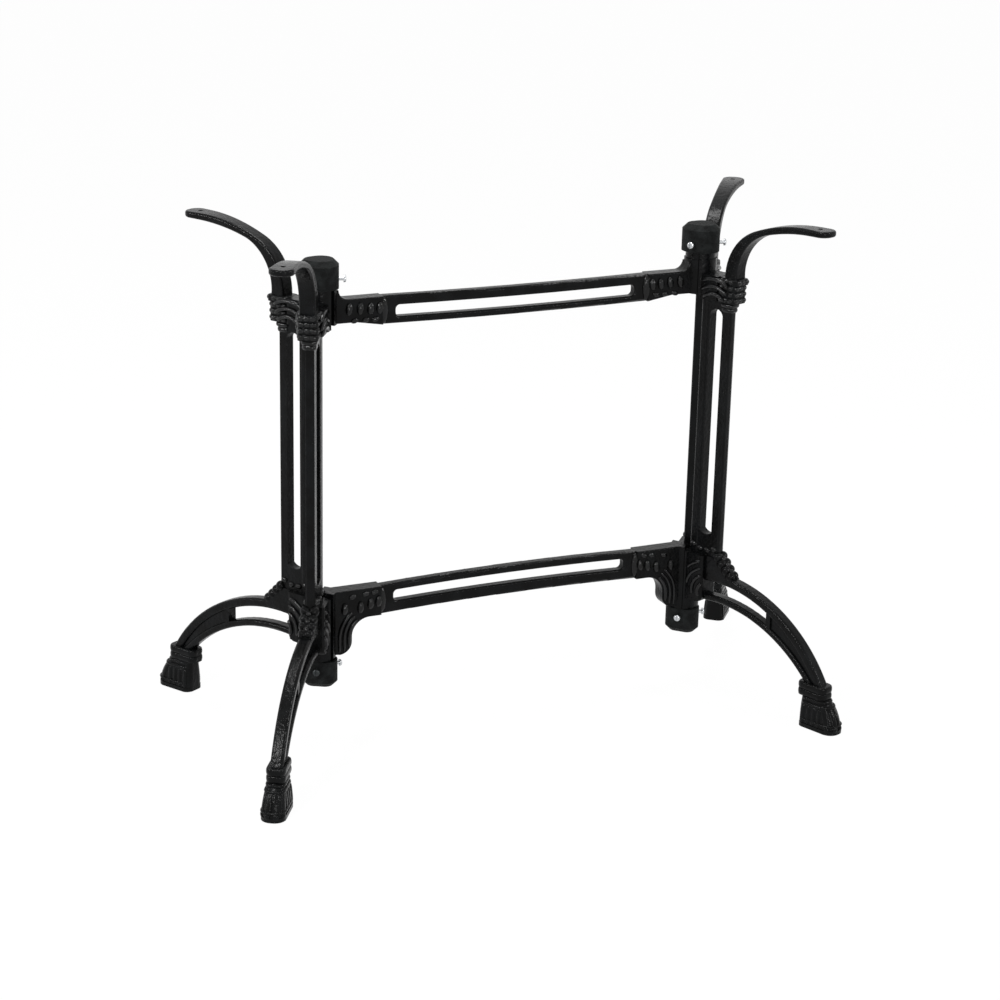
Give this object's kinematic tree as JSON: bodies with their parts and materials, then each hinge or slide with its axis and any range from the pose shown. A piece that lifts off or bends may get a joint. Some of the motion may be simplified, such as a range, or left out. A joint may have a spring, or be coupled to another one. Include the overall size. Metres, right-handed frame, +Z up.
{
  "type": "cast iron table base",
  "caption": "Double cast iron table base: slotted posts on curved hoof-footed legs, with curved arms for a table top, joined by two slotted stretchers.",
  "frame": {"origin": "on the floor, at the middle of the object's bounding box in X and Y", "axes": "+X along the stretchers, +Y to the back, +Z up"},
  "size_m": [0.9554, 0.5496, 0.72],
  "materials": {
    "black_castings": "cast iron with black satin paint over an uneven cast surface",
    "zinc_screws": "bright zinc plated steel"
  },
  "bodies": {
    "root": {"leg_back_left": "black_castings", "leg_front_left": "black_castings", "leg_front_right": "black_castings", "leg_back_right": "black_castings", "upper_stretcher": "black_castings", "lower_stretcher": "black_castings", "cap_upper_left": "black_castings", "cap_upper_right": "black_castings", "cap_lower_left": "black_castings", "cap_lower_right": "black_castings", "set_screw_upper_left_1": "zinc_screws", "set_screw_upper_left_2": "zinc_screws", "set_screw_upper_left_3": "zinc_screws", "set_screw_upper_right_1": "zinc_screws", "set_screw_upper_right_2": "zinc_screws", "set_screw_upper_right_3": "zinc_screws", "set_screw_lower_left_1": "zinc_screws", "set_screw_lower_left_2": "zinc_screws", "set_screw_lower_left_3": "zinc_screws", "set_screw_lower_right_1": "zinc_screws", "set_screw_lower_right_2": "zinc_screws", "set_screw_lower_right_3": "zinc_screws"}
  },
  "joints": []
}
